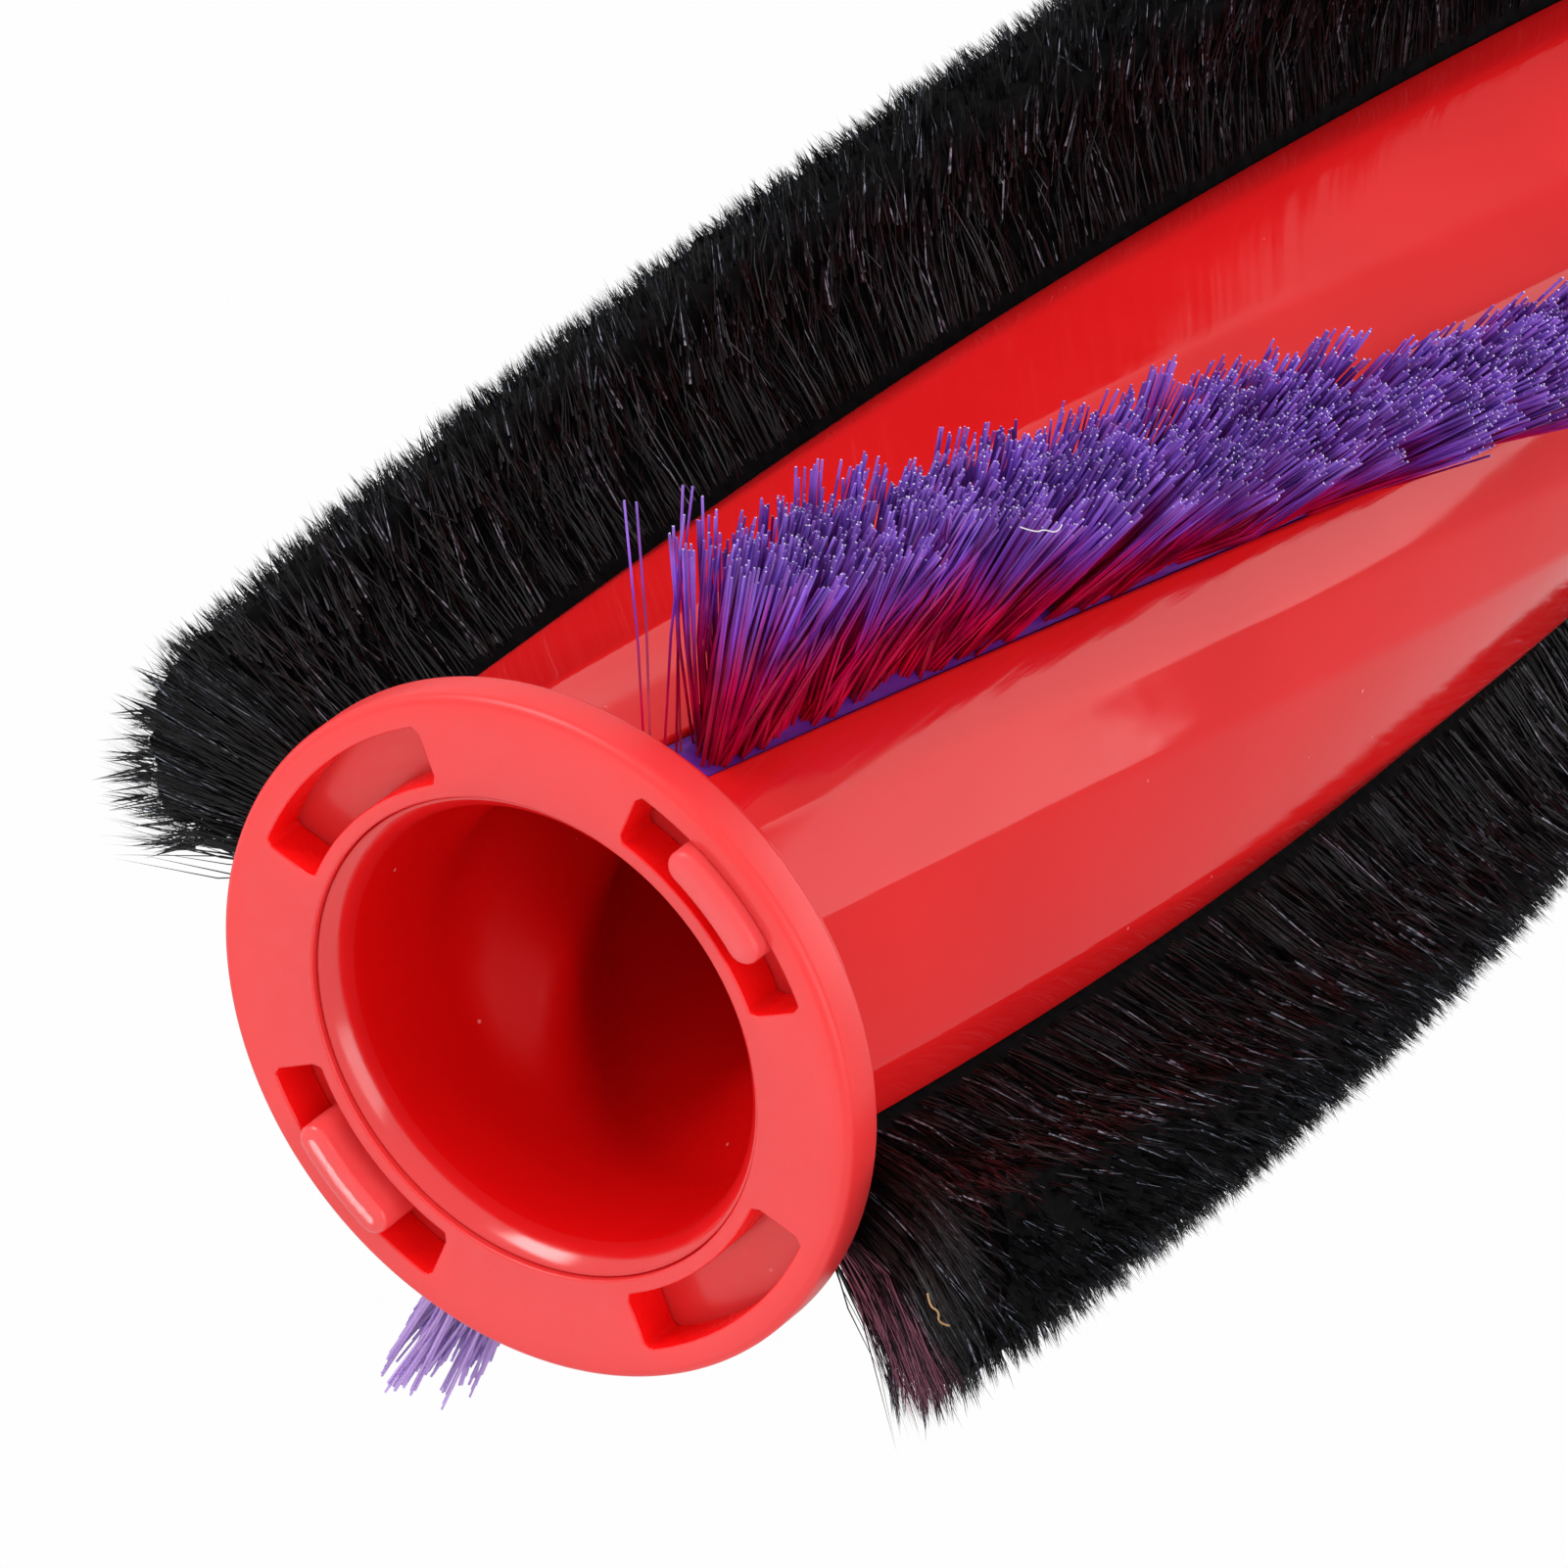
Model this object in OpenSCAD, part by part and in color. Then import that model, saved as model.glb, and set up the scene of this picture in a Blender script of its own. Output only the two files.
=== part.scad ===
// Vacuum roller brush: a moulded tube with four twisted bristle strips,
// an open drive end closed by a windowed ring, and a ball bearing in the far cap.
// The roller stands on its cap with its axis on Z. Millimetres.

/* [Roller] */
// Length from the flat rest face of the cap to the front face of the end ring
roller_len = 225; // [180:1:260]
// Turn of the channels per millimetre of length, in degrees
strip_turn = 0.684; // [0.3:0.001:1]
// Angle of the first nylon strip at the front face, in degrees
strip_phase = 297.4; // [0:0.1:360]

/* [Core tube] */
// Outer radius of the tube at the shoulders of the channels
tube_r = 14.3; // [13:0.1:17]
// Angle from the middle of a nylon strip to the crest beside it
crest_turn = 19; // [14:0.5:24]
// Angle from the middle of a nylon strip to the crease between two flats
crease_turn = 36.5; // [30:0.5:45]
// Depth of that crease below the crests
crease_drop = 0.42; // [0.1:0.02:0.8]
// Angle from the mouth of a pile channel to the crest beside it
pile_crest = 10.5; // [7:0.5:14]
// Wall between the floor of a channel and the bore
floor_wall = 1.95; // [1.4:0.05:2.6]
// Height of the lips that hold a strip in its channel
lip_t = 0.75; // [0.5:0.05:1]
// Radius of the rounded shoulders at the mouth of a channel
shoulder_round = 0.25; // [0.1:0.05:0.4]

/* [Channels and strips] */
// Height of the undercut that takes the back of a strip
slot_h = 1.0; // [0.7:0.05:1.4]
// Half width of the nylon channel's mouth, in degrees
nylon_mouth = 5; // [4:0.1:7]
// Half width of the pile channel's mouth, in degrees
pile_mouth = 12.2; // [9:0.1:14]
// How far the undercut goes past each side of the mouth, in degrees
undercut_reach = 5.5; // [4:0.1:7]
// Gap between a strip and its channel
strip_gap = 0.06; // [0.03:0.01:0.1]
// Length of the nylon bristles past the tube
nylon_len = 10.7; // [8:0.1:13]
// Length of the soft pile past the tube
pile_len = 11.1; // [8:0.1:13]
// Half spread of the nylon bristles at their tips, in degrees
nylon_fan = 8.5; // [6:0.1:12]
// Half spread of the pile at its widest, in degrees
pile_fan = 17.5; // [13:0.1:22]
// How far the bristles stay clear of each end of the tube
bristle_inset = 1.2; // [0.5:0.1:4]

/* [Lobed bore] */
// Number of rounded helical lobes inside the open end
lobe_count = 4; // [3:1:5]
// Height of the lobes
lobe_h = 3.4; // [2:0.1:4.5]
// Turn of the lobes per millimetre of length, in degrees
lobe_turn = 4.6; // [3:0.1:5]
// Angle of one lobe where the lobes begin, in degrees
lobe_phase = 98; // [0:1:360]
// Depth below the front face at which the lobes begin
lobe_start = 7; // [5:0.5:12]
// Length of the lobed stretch
lobe_len = 40; // [30:1:60]
// Length over which the lobes rise and fall
lobe_rise = 6; // [4:0.5:12]

/* [End ring] */
// Thickness of the end ring
ring_t = 2.4; // [2:0.1:3.2]
// Width of the web between the ring's bore and its windows
ring_web = 0.72; // [0.5:0.01:1.2]
// Radial width of the four windows
window_w = 2.7; // [2.2:0.05:3.2]
// Width of the rim outside the windows
rim_w = 1.43; // [1:0.01:2]
// Half length of a window, in degrees
window_half = 22.5; // [18:0.5:26]
// Rounding of the ring's outer edges
ring_round = 0.45; // [0.2:0.05:0.8]

/* [Collar and pegs] */
// Wall of the core's collar that centres the end ring
collar_wall = 1.0; // [0.8:0.05:1.3]
// How far the collar stays below the front face of the ring
collar_drop = 0.3; // [0.1:0.02:0.8]
// Thickness of the core's flange behind the ring
flange_t = 1.0; // [0.8:0.1:1.5]
// How far the flange reaches past the windows
flange_reach = 0.36; // [0.2:0.02:0.8]
// Height of the flare at the mouth of the bore
mouth_flare = 3; // [1.5:0.1:4]
// Width of the flat lip round the flare
mouth_lip = 0.12; // [0.08:0.02:0.3]
// Width of the pegs that key the ring
peg_w = 1.65; // [1.2:0.05:1.9]
// Half length of a peg without its round ends, in degrees
peg_half = 8.5; // [6:0.5:12]
// How far the pegs stand proud of the ring
peg_proud = 0.75; // [0.2:0.05:1]
// Gap between a peg and the outer wall of its window
peg_gap = 0.05; // [0.04:0.01:0.2]
// Running or assembly gap between round parts that fit
fit = 0.05; // [0.03:0.01:0.08]

/* [End cap] */
// Thickness of the cap's flange
cap_t = 3.4; // [2.6:0.1:5]
// Length of the plug that enters the tube
plug_len = 9; // [7:0.5:14]
// Wall of the plug
plug_wall = 1.5; // [1.2:0.1:2]
// Thickness of the web above the bearing
cap_web = 1.4; // [1:0.1:2]
// Rounding of the cap's outer edges
cap_round = 0.6; // [0.3:0.1:1]

/* [Bearing] */
// Bore of the ball bearing
bearing_bore = 6; // [5:0.5:7]
// Radial section of the ball bearing
bearing_section = 3.5; // [3.3:0.1:4.2]
// Width of the ball bearing
bearing_w = 5; // [4.4:0.1:6]
// Diameter of the balls
ball_d = 2; // [1.8:0.05:2.2]
// Number of balls
ball_count = 8; // [7:1:9]
// Gap between the balls and their races
race_gap = 0.06; // [0.04:0.01:0.08]
// Thickness of the two shields
shield_t = 0.25; // [0.2:0.05:0.4]
// Gap between a shield and the inner ring
shield_gap = 0.2; // [0.15:0.05:0.3]
// Wall of the rubber sleeve round the bearing
sleeve_wall = 1.1; // [0.8:0.1:1.6]
// Thickness of the felt washer below the bearing
felt_t = 0.8; // [0.6:0.1:1.4]
// How far the felt washer stays above the rest face
felt_drop = 0.3; // [0.2:0.1:0.8]
// Wall of the axle bush inside the bearing
bush_wall = 1; // [0.8:0.1:1.4]

/* [Hidden] */
$fn = 96;

// Radii from the tube inwards
lip_r = tube_r - lip_t;
floor_r = lip_r - slot_h;
bore_r = floor_r - floor_wall;
// Radii of the ring, worked out from the collar that it sits on
collar_r = bore_r + collar_wall;
ring_bore_r = collar_r + fit;
window_in_r = ring_bore_r + ring_web;
window_out_r = window_in_r + window_w;
ring_r = window_out_r + rim_w;
flange_r = window_out_r + flange_reach;
peg_r = window_out_r - peg_gap - peg_w / 2;
// Heights
ring_z = roller_len - ring_t;
tube_top = ring_z - flange_t;
tube_low = cap_t;
tube_len = tube_top - tube_low;
collar_top = roller_len - collar_drop;
flare_steps = 10;
// Slices of the twisted forms
slice_turn = 8;
crest_steps = 2;
slices = ceil(tube_len * strip_turn / slice_turn);
lobe_rows = 24;
lobe_points = 48;
lobe_skin = 0.15;
lobe_root_r = (bore_r + floor_r) / 2;
peg_steps = 8;
peg_crown = 0.12;
quarter = 90;
over = 1;
red = [0.84, 0.09, 0.09];
coral = [0.95, 0.36, 0.37];
violet = [0.36, 0.22, 0.68];
black = [0.06, 0.06, 0.07];
rubber = [0.05, 0.05, 0.05];
steel = [0.72, 0.73, 0.75];
polished = [0.85, 0.86, 0.88];
cage_brown = [0.35, 0.28, 0.2];
wool = [0.8, 0.78, 0.72];
bush_grey = [0.2, 0.2, 0.22];

// Bearing radii and heights
bush_r = bearing_bore / 2;
bearing_r = bush_r + bearing_section;
pitch_r = bush_r + bearing_section / 2;
race_w = ball_d / 2 + race_gap;
race_hold = 0.45;
land_r = pitch_r - (1 - race_hold) * race_w;
outer_land_r = 2 * pitch_r - land_r;
sleeve_r = bearing_r + sleeve_wall;
felt_low = felt_drop;
bearing_low = felt_low + felt_t;
bearing_top = bearing_low + bearing_w;
sleeve_lip = 0.6;
seat_top = bearing_top + sleeve_lip;
ball_z = bearing_low + bearing_w / 2;
shield_seat = 0.3;
shield_r = outer_land_r + shield_seat;
shield_in_r = land_r + shield_gap;
cage_gap = 0.3;
cage_h = ball_d + 2 * cage_gap;

function polar(r, a) = [r * cos(a), r * sin(a)];

// Half width of a row of bristles as a share of its fan, at shares of its length
row_profile = [[0.55, 0.75], [0.86, 1], [0.98, 0.45]];
row_inset = 0.3;
strip_top = tube_r - shoulder_round;
// Half angle taken by the rounded shoulder of a channel
shoulder = asin(shoulder_round / tube_r);

// Angle of the first nylon strip at a height
function strip_angle(z) = strip_phase - strip_turn * (roller_len - z);

// Height of slice i of the twisted forms between two heights
function slice_z(i, low, high) = low + (high - low) * i / slices;

// Solid that follows the channels: a section turned with height
module swept(section, low, high) {
    n = len(section);
    points = [for (i = [0 : slices], p = section)
        let (z = slice_z(i, low, high), a = strip_angle(z))
            [p.x * cos(a) - p.y * sin(a), p.x * sin(a) + p.y * cos(a), z]];
    sides = [for (i = [0 : slices - 1], j = [0 : n - 1])
        let (a = i * n + j, b = i * n + (j + 1) % n)
            each [[a, a + n, b], [b, a + n, b + n]]];
    bottom = [[for (j = [0 : n - 1]) j]];
    top = [[for (j = [n - 1 : -1 : 0]) slices * n + j]];
    polyhedron(points, concat(sides, bottom, top), convexity = 8);
}

// Outline of one channel, from its middle to its shoulder
function channel_half(mouth) = [
    polar(floor_r, 0),
    polar(floor_r, mouth + undercut_reach),
    polar(lip_r, mouth + undercut_reach),
    polar(lip_r, mouth),
    polar(tube_r - shoulder_round, mouth),
    polar(tube_r, mouth + shoulder)];

// Points on the round of the tube between two angles, from step first to step last
function round_part(from, to, first, last) = [for (i = [first : last])
    polar(tube_r, from + (to - from) * i / crest_steps)];

// Surface from a nylon channel to a pile channel: crest, two flats with a crease, crest
land = concat(
    round_part(nylon_mouth + shoulder, crest_turn, 1, crest_steps),
    [polar(tube_r - crease_drop, crease_turn)],
    round_part(quarter - pile_mouth - pile_crest, quarter - pile_mouth - shoulder, 0, crest_steps - 1));

function turned(points, a) = [for (p = points)
    [p.x * cos(a) - p.y * sin(a), p.x * sin(a) + p.y * cos(a)]];
function mirrored(points) = [for (i = [len(points) - 1 : -1 : 1]) [points[i].x, -points[i].y]];

// Tube's outline: from a nylon channel to a pile channel, its mirror image, and both again
first_quarter = concat(channel_half(nylon_mouth), land, turned(mirrored(channel_half(pile_mouth)), quarter));
half_outline = concat(first_quarter, [polar(floor_r, quarter)],
    turned(mirrored(first_quarter), 2 * quarter));
tube_outline = concat(half_outline, turned(half_outline, 2 * quarter));

// Share of the lobes' full height at a depth below the front face
function rise(t) = let (u = max(0, min(1, t))) u * u * (3 - 2 * u);
function lobe_share(d) = rise((d - lobe_start) / lobe_rise)
    * rise((lobe_start + lobe_len - d) / lobe_rise);

// Radius of the lobed surface at point k of its outline
function lobe_radius(k, d) = bore_r - lobe_skin
    - lobe_h * lobe_share(d) * (1 + cos(4 * quarter * lobe_count * k / lobe_points)) / 2;

// Outside of the tube: the outline turned along its length, up into the flange
module fluted_rod() {
    rod_len = tube_len + flange_t / 2;
    translate([0, 0, tube_low])
        rotate([0, 0, strip_angle(tube_low)])
            linear_extrude(rod_len, twist = -strip_turn * rod_len, slices = slices, convexity = 8)
                polygon(tube_outline);
}

// Helical lobes inside the open end, as one sleeve that is part of the wall
module lobes() {
    m = lobe_points;
    points = [for (i = [0 : lobe_rows], side = [0, 1], k = [0 : m - 1])
        let (d = lobe_start + lobe_len * i / lobe_rows,
             a = lobe_phase - lobe_turn * (d - lobe_start) + 4 * quarter * k / m)
            concat(polar(side == 0 ? lobe_root_r : lobe_radius(k, d), a), roller_len - d)];
    skin = [for (i = [0 : lobe_rows - 1], k = [0 : m - 1])
        let (a = 2 * i * m + k, b = 2 * i * m + (k + 1) % m, down = 2 * m)
            each [[a, b, a + down], [b, b + down, a + down],
                  [a + m, a + m + down, b + m], [b + m, a + m + down, b + m + down]]];
    ends = [for (i = [0, lobe_rows], k = [0 : m - 1])
        let (a = 2 * i * m + k, b = 2 * i * m + (k + 1) % m)
            i == 0 ? [a, a + m, b + m, b] : [a, b, b + m, a + m]];
    polyhedron(points, concat(skin, ends), convexity = 10);
}

module ring_sector(r_in, r_out, half, low, high) {
    rotate([0, 0, -half])
        rotate_extrude(angle = 2 * half)
            translate([r_in, low])
                square([r_out - r_in, high - low]);
}

// Outline of a peg: an arc with round ends
function peg_outline(w) = concat(
    [for (i = [0 : peg_steps]) polar(peg_r + w / 2, peg_half * (2 * i / peg_steps - 1))],
    [for (i = [1 : peg_steps - 1])
        polar(peg_r, peg_half) + polar(w / 2, peg_half + 2 * quarter * i / peg_steps)],
    [for (i = [peg_steps : -1 : 0]) polar(peg_r - w / 2, peg_half * (2 * i / peg_steps - 1))],
    [for (i = [1 : peg_steps - 1])
        polar(peg_r, -peg_half) + polar(w / 2, 2 * quarter - peg_half + 2 * quarter * i / peg_steps)]);

// Peg with a stepped crown
module peg() {
    for (inset = [0, peg_crown])
        translate([0, 0, ring_z])
            linear_extrude(ring_t + peg_proud - peg_crown + inset)
                polygon(peg_outline(peg_w - 2 * inset));
}

// Space inside the collar, flared at the mouth
module mouth() {
    rotate_extrude()
        polygon(concat(
            [[0, tube_top - over], [bore_r, tube_top - over], [bore_r, collar_top - mouth_flare]],
            [for (i = [1 : flare_steps]) let (t = quarter * i / flare_steps)
                [bore_r + (collar_wall - mouth_lip) * (1 - cos(t)), collar_top - mouth_flare * (1 - sin(t))]],
            [[collar_r - mouth_lip, roller_len], [0, roller_len]]));
}

module core_tube() {
    color(red) {
        difference() {
            union() {
                fluted_rod();
                translate([0, 0, tube_top])
                    cylinder(r = flange_r, h = flange_t);
                translate([0, 0, tube_top])
                    cylinder(r = collar_r, h = collar_top - tube_top);
            }
            translate([0, 0, tube_low - over])
                cylinder(r = bore_r, h = tube_len);
            mouth();
        }
        lobes();
        for (a = [quarter, 3 * quarter])
            rotate([0, 0, a])
                peg();
    }
}

// Disc with a bore and rounded outer edges
module rounded_ring(r_in, r_out, low, high, round_low, round_high) {
    rotate_extrude() {
        translate([r_in, low])
            square([r_out - max(round_low, round_high) - r_in, high - low]);
        translate([r_in, low + round_low])
            square([r_out - r_in, high - low - round_low - round_high]);
        translate([r_out - round_low, low + round_low])
            circle(r = round_low, $fn = 32);
        translate([r_out - round_high, high - round_high])
            circle(r = round_high, $fn = 32);
    }
}

module end_ring() {
    color(coral)
        difference() {
            rounded_ring(ring_bore_r, ring_r, ring_z, roller_len, ring_round, ring_round);
            for (a = [0 : quarter : 3 * quarter])
                rotate([0, 0, a])
                    ring_sector(window_in_r, window_out_r, window_half, ring_z - over, roller_len + over);
        }
}

module end_cap() {
    plug_r = bore_r - fit;
    plug_top = cap_t + plug_len;
    color(coral)
        difference() {
            union() {
                rounded_ring(0, ring_r, 0, cap_t, cap_round, cap_round);
                cylinder(r = plug_r, h = plug_top);
            }
            translate([0, 0, -over])
                cylinder(r = sleeve_r, h = seat_top + over);
            translate([0, 0, seat_top + cap_web])
                cylinder(r = plug_r - plug_wall, h = plug_top);
        }
}

// Back of a strip, a tee that fills its channel
function strip_section(mouth) =
    let (side = asin(strip_gap / floor_r),
         u = mouth + undercut_reach - side,
         m = mouth - side,
         low = floor_r + strip_gap,
         high = lip_r - strip_gap)
    [polar(low, 0), polar(low, u), polar(high, u), polar(high, m), polar(strip_top, m), polar(strip_top, 0),
     polar(strip_top, -m), polar(high, -m), polar(high, -u), polar(low, -u)];

module strip(mouth, a) {
    swept(turned(strip_section(mouth), a), tube_low, tube_top);
}

// Whole row of bristles, as the closed form that it fills
function row_section(mouth, fan, reach) =
    let (low = strip_top + strip_gap,
         root = mouth - asin(row_inset / low),
         side = [for (p = row_profile) [low + p[0] * (tube_r + reach - low), p[1] * fan]])
    concat([polar(low, 0), polar(low, root)],
        [for (p = side) polar(p[0], p[1])],
        [polar(tube_r + reach, 0)],
        [for (i = [len(side) - 1 : -1 : 0]) polar(side[i][0], -side[i][1])],
        [polar(low, -root)]);

module bristles(mouth, fan, reach, a) {
    swept(turned(row_section(mouth, fan, reach), a),
        tube_low + bristle_inset, tube_top - bristle_inset);
}

module nylon_strip_a() { color(violet) strip(nylon_mouth, 0); }
module nylon_strip_b() { color(violet) strip(nylon_mouth, 2 * quarter); }
module pile_strip_a() { color(black) strip(pile_mouth, quarter); }
module pile_strip_b() { color(black) strip(pile_mouth, 3 * quarter); }
module nylon_bristles_a() { color(violet) bristles(nylon_mouth, nylon_fan, nylon_len, 0); }
module nylon_bristles_b() { color(violet) bristles(nylon_mouth, nylon_fan, nylon_len, 2 * quarter); }
module pile_bristles_a() { color(black) bristles(pile_mouth, pile_fan, pile_len, quarter); }
module pile_bristles_b() { color(black) bristles(pile_mouth, pile_fan, pile_len, 3 * quarter); }

module hollow(r_in, r_out, low, high) {
    rotate_extrude()
        translate([r_in, low])
            square([r_out - r_in, high - low]);
}

module race() {
    rotate_extrude()
        translate([pitch_r, ball_z])
            circle(r = race_w, $fn = 48);
}

module at_balls() {
    for (i = [0 : ball_count - 1])
        rotate([0, 0, 4 * quarter * i / ball_count])
            translate([pitch_r, 0, ball_z])
                children();
}

// Rubber sleeve with a lip above the bearing
module bearing_sleeve() {
    color(rubber) {
        hollow(bearing_r, sleeve_r, felt_low, bearing_top);
        hollow(shield_r, sleeve_r, bearing_top, seat_top);
    }
}

module bearing_outer_ring() {
    color(steel)
        difference() {
            hollow(outer_land_r, bearing_r, bearing_low, bearing_top);
            race();
            hollow(pitch_r, shield_r, bearing_low - over, bearing_low + shield_t);
            hollow(pitch_r, shield_r, bearing_top - shield_t, bearing_top + over);
        }
}

module bearing_inner_ring() {
    color(steel)
        difference() {
            hollow(bush_r, land_r, bearing_low, bearing_top);
            race();
        }
}

module bearing_balls() {
    color(polished)
        at_balls()
            sphere(d = ball_d, $fn = 32);
}

module bearing_cage() {
    color(cage_brown)
        difference() {
            hollow(land_r + cage_gap, outer_land_r - cage_gap,
                ball_z - cage_h / 2, ball_z + cage_h / 2);
            at_balls()
                sphere(r = race_w, $fn = 32);
        }
}

module shield(low) {
    color(steel)
        hollow(shield_in_r, shield_r, low, low + shield_t);
}

module bearing_shield_inner() { shield(bearing_top - shield_t); }
module bearing_shield_outer() { shield(bearing_low); }

module felt_washer() {
    color(wool)
        hollow(shield_in_r, bearing_r, felt_low, bearing_low);
}

module axle_bush() {
    color(bush_grey)
        hollow(bush_r - bush_wall, bush_r, felt_low, bearing_top);
}

core_tube();
end_ring();
end_cap();
nylon_strip_a();
nylon_strip_b();
pile_strip_a();
pile_strip_b();
nylon_bristles_a();
nylon_bristles_b();
pile_bristles_a();
pile_bristles_b();
bearing_sleeve();
bearing_outer_ring();
bearing_inner_ring();
bearing_balls();
bearing_cage();
bearing_shield_inner();
bearing_shield_outer();
felt_washer();
axle_bush();
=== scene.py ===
"""Vacuum roller brush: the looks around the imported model. Lengths are in millimetres until a mesh is made."""

import math

import bpy
import bmesh
import numpy as np
from mathutils import Matrix, Vector
from mathutils.geometry import tessellate_polygon


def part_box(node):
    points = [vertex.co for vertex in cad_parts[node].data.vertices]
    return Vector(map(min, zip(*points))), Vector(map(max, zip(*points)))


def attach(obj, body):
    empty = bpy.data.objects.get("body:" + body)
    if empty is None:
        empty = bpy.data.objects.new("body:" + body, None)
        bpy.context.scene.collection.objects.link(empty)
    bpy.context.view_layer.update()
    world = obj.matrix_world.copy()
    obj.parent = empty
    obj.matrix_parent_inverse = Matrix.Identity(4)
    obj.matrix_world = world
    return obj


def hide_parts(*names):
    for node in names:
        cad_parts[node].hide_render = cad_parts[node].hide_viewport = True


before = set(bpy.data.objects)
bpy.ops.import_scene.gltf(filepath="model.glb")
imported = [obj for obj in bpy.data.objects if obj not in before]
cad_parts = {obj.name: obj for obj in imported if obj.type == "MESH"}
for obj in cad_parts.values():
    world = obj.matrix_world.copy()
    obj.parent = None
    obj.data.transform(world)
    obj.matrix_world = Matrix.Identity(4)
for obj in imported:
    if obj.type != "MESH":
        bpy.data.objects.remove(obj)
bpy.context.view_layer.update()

MM = 0.001
FULL_TURN = 2 * math.pi

# Places along the roller, from the frame
RING_LOW, RING_TOP = (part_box("end_ring")[i].z / MM for i in (0, 1))
RING_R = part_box("end_ring")[1].x / MM
CAP_TOP = min(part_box("nylon_strip_a")[0].z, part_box("pile_strip_a")[0].z) / MM
TUBE_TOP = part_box("nylon_strip_a")[1].z / MM
PEG_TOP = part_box("core_tube")[1].z / MM

# Channels and strips, as in the part
STRIP_TURN = 0.684
STRIP_PHASE = 297.4
TUBE_R = 14.3
CREST_TURN = 19.0
CREASE_TURN = 36.5
CREASE_DROP = 0.42
PILE_CREST = 10.5
LIP_R = 13.55
FLOOR_R = 12.55
BORE_R = 10.6
SHOULDER_ROUND = 0.25
UNDERCUT = 5.5
NYLON_MOUTH = 5.0
PILE_MOUTH = 12.2
STRIP_TOP = TUBE_R - SHOULDER_ROUND

# Ring, collar and pegs, as in the part
COLLAR_R = 11.6
COLLAR_DROP = 0.3
MOUTH_FLARE = 3.0
MOUTH_LIP = 0.12
LIP_DEPTH = 1.4
LIP_CURVE = 4
FLANGE_R = 15.43
RING_BORE = 11.65
WINDOW_IN, WINDOW_OUT = 12.37, 15.07
WINDOW_HALF = 22.5
PEG_R, PEG_W, PEG_HALF = 14.195, 1.65, 8.5

# Lobes inside the open end, as in the part
LOBE_COUNT = 4
LOBE_H = 3.4
LOBE_TURN = 4.6
LOBE_PHASE = 98.0
LOBE_START = 7.0
LOBE_LEN = 40.0
LOBE_RISE = 6.0
LOBE_SKIN = 0.15

# Camera, fitted to the ring, its windows and the rows of bristles
CAMERA_PLACE = Vector((5.59, -359.92, RING_TOP + 364.66))
VIEW_AHEAD = Vector((-0.00629, 0.68055, -0.73267))
VIEW_RIGHT = Vector((-0.60002, -0.58870, -0.54167))
LENS = 269.8
SENSOR = 36.0

rng = np.random.default_rng(20)


def strip_angle(z):
    """Angle of the first nylon strip at height z, in degrees."""
    return STRIP_PHASE - STRIP_TURN * (RING_TOP - z)


def polar(r, degrees):
    a = np.radians(degrees)
    return np.stack([r * np.cos(a), r * np.sin(a)], axis=-1)


def link(name, mesh):
    obj = bpy.data.objects.new(name, mesh)
    bpy.context.scene.collection.objects.link(obj)
    return obj


def mesh_object(name, points, faces, sharp=35):
    """Object from points in millimetres, smooth apart from edges sharper than that many degrees."""
    mesh = bpy.data.meshes.new(name)
    mesh.from_pydata([tuple(p) for p in np.asarray(points) * MM], [], faces)
    work = bmesh.new()
    work.from_mesh(mesh)
    bmesh.ops.remove_doubles(work, verts=work.verts, dist=1e-7)
    bmesh.ops.recalc_face_normals(work, faces=work.faces)
    work.to_mesh(mesh)
    work.free()
    mesh.polygons.foreach_set("use_smooth", [True] * len(mesh.polygons))
    mesh.set_sharp_from_angle(angle=math.radians(sharp))
    return link(name, mesh)


def ring_faces(rings, count, closed=False):
    """Quads between successive rings of count points each."""
    faces = []
    for i in range(rings if closed else rings - 1):
        a, b = i * count, (i + 1) % rings * count
        faces += [(a + k, a + (k + 1) % count, b + (k + 1) % count, b + k) for k in range(count)]
    return faces


def arc(centre, radius, start, stop, steps):
    """Points of an arc in a profile, from start to stop degrees."""
    a = np.radians(np.linspace(start, stop, steps + 1))
    return [(centre[0] + radius * math.cos(t), centre[1] + radius * math.sin(t)) for t in a]


def lathe(name, profile, segments=256, sharp=35):
    """Closed ring from a closed profile of (radius, height) points."""
    turn = np.linspace(0, FULL_TURN, segments, endpoint=False)
    points = [(r * math.cos(a), r * math.sin(a), z) for r, z in profile for a in turn]
    return mesh_object(name, points, ring_faces(len(profile), segments, closed=True), sharp)


# Core tube

CREST_POINTS = 5
FACET_POINTS = 7
SHOULDER_POINTS = 5
EDGE_BLEND = 1.6
CORE_ROW = 1.0
BORE_POINTS = 192


def half_channel(mouth):
    """Half of a channel's outline as (radius, angle), from its middle to its shoulder."""
    points = [(FLOOR_R, 0), (FLOOR_R, (mouth + UNDERCUT) / 2), (FLOOR_R, mouth + UNDERCUT),
              (LIP_R, mouth + UNDERCUT), (LIP_R, mouth), (STRIP_TOP - 0.3, mouth)]
    shoulder = math.degrees(SHOULDER_ROUND / TUBE_R)
    for i in range(SHOULDER_POINTS + 1):
        t = math.pi / 2 * i / SHOULDER_POINTS
        points.append((TUBE_R - SHOULDER_ROUND * (1 - math.sin(t)), mouth + shoulder * (1 - math.cos(t))))
    return points


def facet(start, stop, turns):
    """Radii at the given angles along the straight line between two points (radius, angle)."""
    (ra, a), (rb, b) = start, stop
    wide = math.radians(b - a)
    t = np.radians(np.asarray(turns) - a)
    return ra * rb * math.sin(wide) / (ra * np.sin(t) + rb * np.sin(wide - t))


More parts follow.
